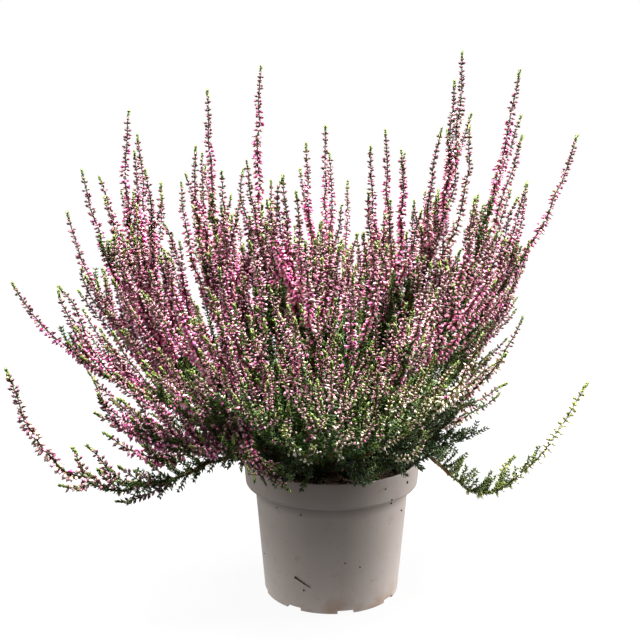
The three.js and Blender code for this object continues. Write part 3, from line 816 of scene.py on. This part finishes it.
def pot_material():
    """Moulded plastic, a little uneven in tone, with dust, brown stains, specks of peat, and a painted
    shadow under the band.
    """
    shader = Shader("pot_plastic", 0.5, 0.4)
    cloudy = shader.noise(26.0, 3.0)
    plain = shader.mix(cloudy, srgb(142, 132, 126), srgb(154, 144, 137))
    height = shader.height(shader.place)
    stain = shader.stretch(shader.noise(9.0, 4.0), 0.6, 0.74, 0.0, 0.35)
    stained = shader.mix(stain, plain, srgb(120, 98, 78))
    low = shader.stretch(height, 0.0, 16 * MM, 0.9, 0.0)
    dirt = shader.math("MULTIPLY", low, shader.stretch(shader.noise(14.0, 5.0), 0.48, 0.68))
    stained = shader.mix(dirt, stained, srgb(128, 98, 74))
    # Painted shade: the wall from 9 mm under the band up to the band's lowest edge is darkened to
    # grey-brown as the shadow line under the band.
    painted_shade_under_band = shader.stretch(height, (BAND_FOOT - 9) * MM, (BAND_FOOT - 3) * MM, 0.0, 0.5)
    up_to_edge = shader.math("LESS_THAN", height, (BAND_FOOT + 1.4) * MM)
    painted_band_shadow = shader.math("MULTIPLY", painted_shade_under_band, up_to_edge)
    stained = shader.mix(painted_band_shadow, stained, srgb(70, 62, 56))
    speck = shader.stretch(shader.noise(1.1, 1.0), 0.755, 0.785)
    shader.colour(shader.mix(speck, stained, srgb(58, 46, 38)))
    shader.bump(shader.noise(0.8, 3.0), 0.12, 0.15)
    return shader.material


def peat_material():
    shader = Shader("peat", 0.95, 0.2)
    crumbs = shader.noise(2.6, 5.0)
    shader.colour(shader.ramp(crumbs, (0.3, 24, 18, 14), (0.55, 58, 43, 32), (0.8, 104, 80, 58)))
    shader.bump(crumbs, 0.9, 1.2)
    return shader.material


FLORET, LEAFLET, TWIG = 0, 1, 2
PLANT_LOOKS = [floret_material(), leaf_material(), stem_material()]

# ---- pot


def lathe(profile, sides):
    """A closed body turned about z. The profile starts and ends on the axis."""
    angles = 2 * math.pi * np.arange(sides) / sides
    turn = np.stack([np.cos(angles), np.sin(angles)], axis=1)
    inner = np.array(profile[1:-1])
    rings = np.concatenate([
        inner[:, None, :1] * turn[None],
        np.broadcast_to(inner[:, None, 1:], (len(inner), sides, 1)),
    ], axis=2)
    corners = np.vstack([rings.reshape(-1, 3), [[0, 0, profile[0][1]], [0, 0, profile[-1][1]]]])
    return corners, ring_faces(len(inner), sides)


def plain_mesh(name, corners, faces):
    mesh = bpy.data.meshes.new(name)
    mesh.from_pydata((np.asarray(corners) * MM).tolist(), [], [tuple(face) for face in faces])
    mesh.update()
    return mesh


def rounded(corner, before, after, radius, steps=4):
    """Points of a profile's corner, rounded off."""
    corner, before, after = (np.array(point, float) for point in (corner, before, after))
    start = corner + unit(before - corner) * radius
    end = corner + unit(after - corner) * radius
    t = np.linspace(0, 1, steps + 1)[:, None]
    return ((1 - t) ** 2 * start + 2 * t * (1 - t) * corner + t**2 * end).tolist()


def pot_profile():
    """The pot's section, from corners with the size of their rounding."""
    wall = POT["wall"]
    shelf = BAND_FOOT + wall
    points = [
        ((0, POT["floor_underside"]), 0),
        ((POT["foot_radius"] - POT["foot_ring"], POT["floor_underside"]), 0.6),
        ((POT["foot_radius"] - POT["foot_ring"], 0), 0),
        ((POT["foot_radius"], 0), 0.8),
        ((POT["neck_radius"], BAND_FOOT), 0.5),
        ((POT["band_radius"], BAND_FOOT), 1.6),
        ((POT["rim_radius"], POT["height"]), 0.7),
        ((POT["rim_radius"] - wall, POT["height"]), 0.5),
        ((POT["band_radius"] - wall, shelf), 0.5),
        ((POT["neck_radius"] - wall, shelf), 0.5),
        ((POT["foot_radius"] - wall, POT["floor_top"]), 1.5),
        ((0, POT["floor_top"]), 0),
    ]
    profile = []
    for number, (point, radius) in enumerate(points):
        if radius:
            profile += rounded(point, points[number - 1][0], points[number + 1][0], radius)
        else:
            profile.append(point)
    return profile


def pot_cutters():
    """Boxes for the notches in the foot ring, and rods for the drain holes."""
    corners, faces = [], []

    def add(part_corners, part_faces):
        start = len(corners)
        corners.extend(part_corners)
        faces.extend([[start + corner for corner in face] for face in part_faces])

    for index in range(NOTCH["count"]):
        angle = NOTCH["first_angle"] + index * 2 * math.pi / NOTCH["count"]
        out = np.array([math.cos(angle), math.sin(angle), 0])
        aside = np.array([-math.sin(angle), math.cos(angle), 0])
        box = []
        for height in (-NOTCH["height"], NOTCH["height"]):
            for away, side in ((-1, -1), (1, -1), (1, 1), (-1, 1)):
                reach = POT["foot_radius"] + away * 2 * POT["foot_ring"]
                box.append(out * reach + aside * side * NOTCH["width"] / 2 + UP * height)
        add(box, [(0, 3, 2, 1), (4, 5, 6, 7), (0, 1, 5, 4), (1, 2, 6, 5), (2, 3, 7, 6), (3, 0, 4, 7)])
    sides = DRAIN["sides"]
    for index in range(DRAIN["count"]):
        angle = NOTCH["first_angle"] + (index + 0.5) * 2 * math.pi / DRAIN["count"]
        middle = DRAIN["from_axis"] * np.array([math.cos(angle), math.sin(angle), 0])
        rod = []
        for height in (-10, 10):
            for side in range(sides):
                turn = 2 * math.pi * side / sides
                edge = np.array([math.cos(turn), math.sin(turn), 0]) * DRAIN["radius"]
                rod.append(middle + edge + UP * height)
        walls = [(side, after, sides + after, sides + side) for side, after in around(sides)]
        add(rod, [*walls, tuple(range(sides))[::-1], tuple(range(sides, 2 * sides))])
    return corners, faces


def make_pot():
    pot = add_object("nursery_pot", plain_mesh("nursery_pot", *lathe(pot_profile(), POT["sides"])))
    cutter = add_object("cutter", plain_mesh("cutter", *pot_cutters()))
    cut = pot.modifiers.new("cut", "BOOLEAN")
    cut.object = cutter
    cut.solver = "EXACT"
    depsgraph = bpy.context.evaluated_depsgraph_get()
    shaped = bpy.data.meshes.new_from_object(pot.evaluated_get(depsgraph))
    pot.modifiers.clear()
    pot.data = shaped
    bpy.data.objects.remove(cutter)
    shaped.shade_smooth()
    shaped.set_sharp_from_angle(angle=math.radians(40))
    shaped.materials.clear()
    shaped.materials.append(pot_material())
    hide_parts("pot")
    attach(pot, "root")


# ---- peat


def wall_radius(height):
    """Of the pot's outer face."""
    heights = (0, BAND_FOOT, BAND_FOOT, POT["height"])
    radii = (POT["foot_radius"], POT["neck_radius"], POT["band_radius"], POT["rim_radius"])
    return np.interp(height, heights, radii)


def facing(turns):
    """Level directions, by their turn from the front in degrees."""
    turns = np.radians(turns)
    return np.stack([np.sin(turns), -np.cos(turns), np.zeros(len(turns))], axis=1)


def peat_body(draw):
    """The peat as a closed body: a rough top between the pot's wall and the stock's hole."""
    sides = SOIL_MESH["sides"]
    edge, hole = SOIL["edge_height"], SOIL["hole_radius"]
    floor, shelf = POT["floor_top"] + SEAT_GAP, BAND_FOOT + POT["wall"] + 2 * SEAT_GAP
    inset = POT["wall"] + SEAT_GAP
    angles = 2 * math.pi * np.arange(sides) / sides
    turn = np.stack([np.cos(angles), np.sin(angles), np.zeros(sides)], axis=1)
    radii = np.linspace(SOIL["radius"], hole, SOIL_MESH["rings"])
    x, y = radii[:, None] * turn[:, 0], radii[:, None] * turn[:, 1]
    lumps = sum(
        height * np.sin(x / size + phase) * np.cos(y / size - 2 * phase)
        for height, size, phase in SOIL_LUMPS
    )
    rough = draw.uniform(-SOIL_TOP["rough"], SOIL_TOP["rough"], x.shape)
    z = edge + SOIL_TOP["lift"] + SOIL_TOP["lumpy"] * lumps + rough
    z[0] = edge
    z[-1] = edge
    top = np.stack([x, y, z], axis=2)
    below = [
        (POT["foot_radius"] - inset, floor),
        (POT["neck_radius"] - inset, shelf),
        (SOIL["radius"], shelf),
    ]
    outside = np.stack([radius * turn + UP * height for radius, height in below])
    hole_foot = (hole * turn + UP * SOIL["bottom"])[None]
    loops = np.concatenate([outside, top, hole_foot])
    corners = np.vstack([loops.reshape(-1, 3), UP * floor, UP * SOIL["bottom"]])
    return corners, triangles(ring_faces(len(loops), sides))


def make_peat():
    """Crumbly peat, with loose crumbs on it and a few that stick to the pot."""
    draw = np.random.default_rng(SEEDS["peat"])
    growth = Growth()
    growth.add(*peat_body(draw), 0)
    count = LOOSE_CRUMBS["count"]
    near = (SOIL["hole_radius"] / SOIL["radius"]) ** 2
    away = np.sqrt(draw.uniform(near, LOOSE_CRUMBS["reach"], count)) * SOIL["radius"]
    turn = draw.uniform(0, 2 * math.pi, count)
    height = np.full(count, SOIL["edge_height"] + LOOSE_CRUMBS["lift"])
    at = np.stack([away * np.cos(turn), away * np.sin(turn), height], axis=1)
    axis = unit(draw.normal(size=(count, 3)) * [1, 1, 0.5])
    length = draw.uniform(*LOOSE_CRUMBS["length"], count)
    width = length * draw.uniform(*LOOSE_CRUMBS["width"], count)
    copies(growth, CRUMB, 0, at, axis, draw.normal(size=(count, 3)), length, width)

    turns, heights, lengths = np.array(STUCK_CRUMBS).T
    out = facing(turns)
    at = out * wall_radius(heights)[:, None] + UP * heights[:, None]
    one_each = (len(turns), 1)
    axis = unit(np.cross(out, UP) * draw.normal(size=one_each) + UP * draw.normal(size=one_each))
    foot = at - axis * lengths[:, None] / 2
    copies(growth, CRUMB, 0, foot, axis, out, lengths, lengths * STUCK_CRUMB_WIDTH)
    turns, heights = (np.linspace(*STUCK_NEEDLE[way], 9) for way in ("turn", "height"))
    radius = STUCK_NEEDLE["radius"]
    needle = Line(facing(turns) * (wall_radius(heights) + radius)[:, None] + UP * heights[:, None])
    tube(growth, needle, 0, radius, radius / 2, 2)
    peat = growth.piece("peat_surface", [peat_material()])
    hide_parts("soil")
    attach(peat, "root")


# ---- the plant


def clear_of_pot(line, margin=2.0):
    """Whether a line keeps out of the pot's wall and the peat."""
    points = line.points
    away = np.hypot(points[:, 0], points[:, 1])
    inside = away < POT["rim_radius"] + margin
    near_wall = away > POT["rim_radius"] - 6
    low = np.where(near_wall, POT["height"] + margin, SOIL["edge_height"] + margin)
    return not np.any(inside & (points[:, 2] < low))


def leafy(growth, line, draw, kind, fresh, start=0.0, end=1.0, size=1.0, wide=0.27, light=1.0):
    """Scale leaves round a stem, several at each place, turned on from place to place."""
    spacing, spread, leaf, ranks = LEAVES[kind]
    count = int(line.length * (end - start) / spacing)
    if count < 1:
        return
    share = np.repeat(start + (end - start) * (np.arange(count) + 0.5) / count, ranks)
    total = len(share)
    place = np.repeat(np.arange(count), ranks)
    turn = place * 1.05 + np.tile(np.arange(ranks), count) * 2 * math.pi / ranks
    turn = turn + draw.normal(0, 0.25, total)
    out, ahead = line.outward(share, turn), line.ahead(share)
    slope = np.clip(draw.normal(spread, 0.18, total), 0.08, 1.3)
    axis = unit(np.cos(slope)[:, None] * ahead + np.sin(slope)[:, None] * out)
    length = leaf * size * draw.uniform(0.75, 1.2, total)
    copies(
        growth, LEAF, LEAFLET, line.at(share), axis, np.cross(out, ahead), length, length * wide,
        age=np.clip(fresh + draw.normal(0, 0.12, total), 0, 1), tone=draw.uniform(0, light, total),
    )


def raceme(growth, line, draw, bloom, look):
    """A stem crowded with florets: leaves at its tip, young buds, then grown and nodding ones."""
    own_pale, own_vivid = look["pale"] + draw.normal(0, 0.1), look["vivid"] + draw.normal(0, 0.2)
    own_growth = look["growth"] * draw.uniform(0.7, 1.4)
    own_full = look["full"] * draw.uniform(0.8, 1.2)
    stations = []
    from_tip = RACEME["tip"]
    while from_tip < bloom:
        stations.append(from_tip)
        more = RACEME["more_step"] * min(from_tip / RACEME["low"], 1)
        from_tip += look["space"] * (RACEME["step"] + more)
    stations = np.array(stations)
    if len(stations) == 0:
        return
    crowd = np.where(stations < RACEME["pairs"], 2, np.where(stations < RACEME["threes"], 3, 4))
    place = np.repeat(np.arange(len(stations)), crowd)
    rank = np.concatenate([np.arange(number) for number in crowd])
    total = len(place)
    from_tip = stations[place] + draw.uniform(-0.9, 0.9, total) * (crowd[place] > 2)
    share = 1 - from_tip / line.length
    grown = np.clip((from_tip - 4) / own_growth, 0, 1)
    turn = place * math.pi / 2 + rank * 2 * math.pi / crowd[place] + place * 0.13
    turn = turn + draw.normal(0, 0.22, total)
    out, ahead = line.outward(share, turn), line.ahead(share)
    lift = np.radians(46 - 42 * grown) + draw.normal(0, 0.2, total)
    nod = 0.75 * grown**1.5 * draw.uniform(0.5, 1.2, total)
    axis = np.cos(lift)[:, None] * out + np.sin(lift)[:, None] * ahead - nod[:, None] * UP
    axis = unit(axis)
    length = look["size"] * (3.0 + 1.4 * np.sqrt(grown)) * draw.uniform(0.85, 1.15, total)
    width = length * (0.23 + 0.03 * grown) * draw.uniform(0.85, 1.15, total)
    crowded = np.interp(from_tip, (own_full, own_full + look["thins_over"]), (1, RACEME["thin"]))
    kept = draw.uniform(0, 1, total) < crowded
    shares = {
        "age": np.clip(grown + draw.normal(0, 0.08, total), 0, 1),
        "tone": np.clip(draw.normal(0.55 - 0.5 * own_vivid, 0.26, total), 0, 1),
        "pale": np.clip(own_pale + draw.normal(0, 0.25, total), 0, 1),
    }
    at, beside = line.at(share), np.cross(out, ahead)
    for template, chosen in ((YOUNG_BUD, kept & (grown < 0.7)), (BUD, kept & (grown >= 0.7))):
        copies(
            growth, template, FLORET, at[chosen], axis[chosen], beside[chosen], length[chosen],
            width[chosen], **{name: share[chosen] for name, share in shares.items()},
        )
    low = max(0.02, 1 - bloom / line.length)
    top = 1 - RACEME["tip"] / line.length
    size = max(1.0, look["size"])
    leafy(growth, line, draw, "floret", look["fresh"], low, top, size)
    thinned = 1 - (own_full + 0.4 * look["thins_over"]) / line.length
    leafy(growth, line, draw, "thinned", look["fresh"] / 3, low, thinned, light=0.6)
    back = 1 / line.length
    leafy(growth, line, draw, "tip", RACEME["tip_fresh"], top - back, 1 - back, 1.15 * size, 0.3)


def side_growth(leader, fork, turn, length, slant, rise, hangs=False):
    """A short side stem: it leaves its leader at a slant and bends up, or it may hang."""
    start = leader.at(fork)
    ahead = leader.ahead(fork)
    across, third = leader.sides(fork)
    out = math.cos(turn) * across + math.sin(turn) * third
    if hangs:
        rise = rise * out[2]
    else:
        out = out * np.sign(out[2])
        ahead = unit(np.array([ahead[0], ahead[1], max(ahead[2], 0.1)]))
    knee = start + length * 0.45 * unit(math.cos(slant) * ahead + math.sin(slant) * out)
    end = knee + length * 0.6 * unit(unit(ahead + 0.35 * out) + rise * UP)
    return bow(start, knee, end)


def leafy_twig(growth, line, draw, fresh, light=1.0):
    """A twig crowded with short leaves that stand away from it."""
    tube(growth, line, TWIG, *STEMS["twig"], age=0.85)
    leafy(growth, line, draw, "twig", fresh, light=light)


def make_spray(number, leader, sides, look):
    """A spray with its racemes, short side racemes, and leafy twigs on its limb."""
    draw = np.random.default_rng(SEEDS["spray"] + number)
    growth = Growth()
    leader = crooked(leader, draw, "leader")
    start = SPRAY_START + SEAT_GAP / leader.length
    tube(growth, leader, TWIG, *STEMS["leader"], start=start, age=0.7)
    raceme(growth, leader, draw, leader.length * (1 - BLOOM_START), look)
    leafy(growth, leader, draw, "limb", look["fresh"] / 2, 0.3, BLOOM_START)
    more = MORE_RACEMES.get(number, [])
    sides = sides + [bow(leader.at(fork), np.array(knee), np.array(tip)) for fork, knee, tip in more]
    for side in sides:
        side = crooked(side, draw, "side")
        tube(growth, side, TWIG, *STEMS["side"], age=0.8)
        raceme(growth, side, draw, side.length - 4, look)

    turn = draw.uniform(0, 2 * math.pi)
    shortest = SHORT_STEM["least_length"]
    for fork in np.arange(SHORT_STEM["first_fork"], look["last_fork"], look["apart"] / leader.length):
        turn += TURN_ON
        room = leader.length * (1 - fork) - look["bare_top"]
        length = min(look["longest"], room * draw.uniform(0.45, 1.0))
        line = side_growth(leader, fork, turn, length, 0.7, look["rise"], look["hangs"])
        line = crooked(line, draw, "short")
        bare = max(SHORT_STEM["least_bare"], (BLOOM_START - fork) * leader.length)
        if length < shortest or not clear_of_pot(line):
            continue
        if bare > line.length - shortest:
            leafy_twig(growth, line, draw, look["fresh"] * draw.uniform(0.0, 0.7))
        else:
            tube(growth, line, TWIG, *STEMS["short"], age=0.9)
            raceme(growth, line, draw, line.length - bare, look)
            leafy(growth, line, draw, "twig", look["fresh"] / 3, 0, bare / line.length)

    for fork in np.arange(0.12, look["leafy_to"], look["leafy_apart"] / leader.length):
        turn += TURN_ON
        length = look["twig"] * draw.uniform(0.7, 1.5)
        line = side_growth(leader, fork, turn, length, 0.8, 0.6, look["limp"])
        line = crooked(line, draw, "short")
        if clear_of_pot(line):
            leafy_twig(growth, line, draw, look["fresh"] * draw.uniform(0.0, 0.7))
    name = f"spray_{number:02d}"
    spray = growth.piece(f"flowering_{name}", PLANT_LOOKS)
    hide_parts(name)
    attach(spray, "root")


def make_shoot(number, leader, sides):
    """A low leafy shoot with its side shoots and their twigs."""
    draw = np.random.default_rng(SEEDS["shoot"] + number)
    growth = Growth()
    # The leaves of the shoots and of their twigs keep to the darkest tones (light 0.2 and 0.3): partly
    # their own dark green, partly painted shade for the shade under the bush.
    for line, kind in [(leader, "shoot")] + [(side, "shoot_side") for side in sides]:
        line = crooked(line, draw, "side")
        tube(growth, line, TWIG, *STEMS[kind], age=0.7)
        leafy(growth, line, draw, "shoot", 0.0, 0.1, light=0.2)
        turn = draw.uniform(0, 2 * math.pi)
        for fork in np.arange(0.2, 0.9, 5 / line.length):
            turn += TURN_ON
            hangs = draw.uniform() < 0.5
            length = draw.uniform(8, 18) if hangs else (1 - 0.7 * fork) * draw.uniform(14, 26)
            twig = side_growth(line, fork, turn, length, 0.9, 0.5, hangs)
            twig = crooked(twig, draw, "twig")
            if clear_of_pot(twig, 1.0):
                leafy_twig(growth, twig, draw, draw.uniform(-0.2, 0.2), 0.3)
    name = f"leafy_shoot_{number:02d}"
    shoot = growth.piece(f"green_{name}", PLANT_LOOKS)
    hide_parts(name)
    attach(shoot, "root")


def make_wood(leaders):
    """The stock and its limbs, crooked and barky."""
    growth = Growth()
    crown, top, sides = STOCK["crown_height"], STOCK["top"], STOCK["fine_sides"]
    foot = SOIL["bottom"] + SEAT_GAP
    spine = Line([(0, 0, foot), (0.6, -0.4, crown - 16), (-0.3, 0.3, crown - 4), (0, 0, top)])
    tube(growth, spine, 0, STOCK["radius"], STOCK["radius"], 2.0, sides=sides, end=0.72)
    swell = Line([(0, 0, crown - 8), (0, 0, crown - 2), (0, 0, top)])
    tube(growth, swell, 0, STOCK["crown_radius"], STOCK["crown_radius"] * 0.5, 1.5, sides=sides)
    for number, leader in enumerate(leaders, start=1):
        line = crooked(leader, np.random.default_rng(SEEDS["spray"] + number), "leader")
        start = LIMB["from"] / line.length
        tube(growth, line, 0, LIMB["radius"], LIMB["end_radius"], 4, sides=6, start=start, end=SPRAY_START)
    wood = growth.piece("stock_and_limbs", [bark_material()])
    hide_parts("wood")
    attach(wood, "root")


def make_plant():
    sprays, shoots = plant_lines()
    make_wood([leader for leader, sides in sprays])
    for number, (leader, sides) in enumerate(sprays, start=1):
        make_spray(number, leader, sides, COMMON_LOOK | LOOKS.get(number, {}))
    for number, (leader, sides) in enumerate(shoots, start=1):
        make_shoot(number, leader, sides)


# ---- stage


def make_floor():
    """A floor that glows: pale to the camera but for a painted soft shadow close round the pot, and
    lighting the plant from close round the pot.
    """
    size = FLOOR_HALF_WIDTH
    corners = [(-size, -size, 0), (size, -size, 0), (size, size, 0), (-size, size, 0)]
    floor = add_object("floor", plain_mesh("floor", corners, [(0, 1, 2, 3)]))
    shader = Shader("floor", 0.9, 0.1)
    shader.surface.inputs["Base Color"].default_value = FLOOR_COLOUR
    shader.surface.inputs["Emission Color"].default_value = WHITE
    length = shader.add("VectorMath", (0, shader.place))
    length.operation = "LENGTH"
    distance = length.outputs["Value"]
    seen = shader.seen()
    unseen = shader.math("SUBTRACT", 1.0, seen)
    # Painted shadow: the glow that the camera sees dims a little close to the pot.
    seen_glow = shader.math("MULTIPLY", shader.stretch(distance, *SEEN_GLOW), seen)
    lit_glow = shader.math("MULTIPLY", shader.stretch(distance, *LIT_GLOW), unseen)
    shader.links.new(shader.math("ADD", seen_glow, lit_glow), shader.surface.inputs["Emission Strength"])
    floor.data.materials.append(shader.material)


def make_world():
    """White to the camera. Its light comes from the back and the sides, least from the front."""
    world = bpy.data.worlds.new("studio")
    tree = NodeTree(world)
    lit = tree.nodes["Background"]
    lit.inputs["Strength"].default_value = STUDIO["strength"]
    way = tree.add("TexCoord").outputs["Generated"]
    to_back = tree.add("SeparateXYZ", ("Vector", way)).outputs["Y"]
    tree.links.new(tree.stretch(to_back, *STUDIO["shade"]), lit.inputs["Color"])
    white = tree.add("Background", ("Color", WHITE))
    choice = tree.add("MixShader", (0, tree.seen()), (1, lit.outputs[0]), (2, white.outputs[0]))
    tree.links.new(choice.outputs[0], tree.nodes["World Output"].inputs["Surface"])
    bpy.context.scene.world = world


def add_light(name, at, size, power):
    light = bpy.data.lights.new(name, "AREA")
    light.shape = "RECTANGLE"
    light.size, light.size_y = (side * MM for side in size)
    light.energy = power
    lamp = add_object(name, light)
    lamp.location = np.array(at) * MM
    way = Vector(LIGHTS_AIM) - Vector(at)
    lamp.rotation_euler = way.to_track_quat("-Z", "Y").to_euler()


def make_camera():
    """The photograph's view: 1080 pixels of focal length on a 640-pixel frame."""
    data = bpy.data.cameras.new("camera")
    data.sensor_width = CAMERA["sensor_width"]
    data.lens = CAMERA["lens"]
    camera = add_object("camera", data)
    camera.location = np.array(CAMERA["at"]) * MM
    camera.rotation_euler = (math.radians(90 - CAMERA["looks_down"]), 0, 0)
    bpy.context.scene.camera = camera


make_pot()
make_peat()
make_plant()
make_floor()
make_world()
for light in LIGHTS:
    add_light(*light)
make_camera()
bpy.context.scene.view_settings.view_transform = "Standard"
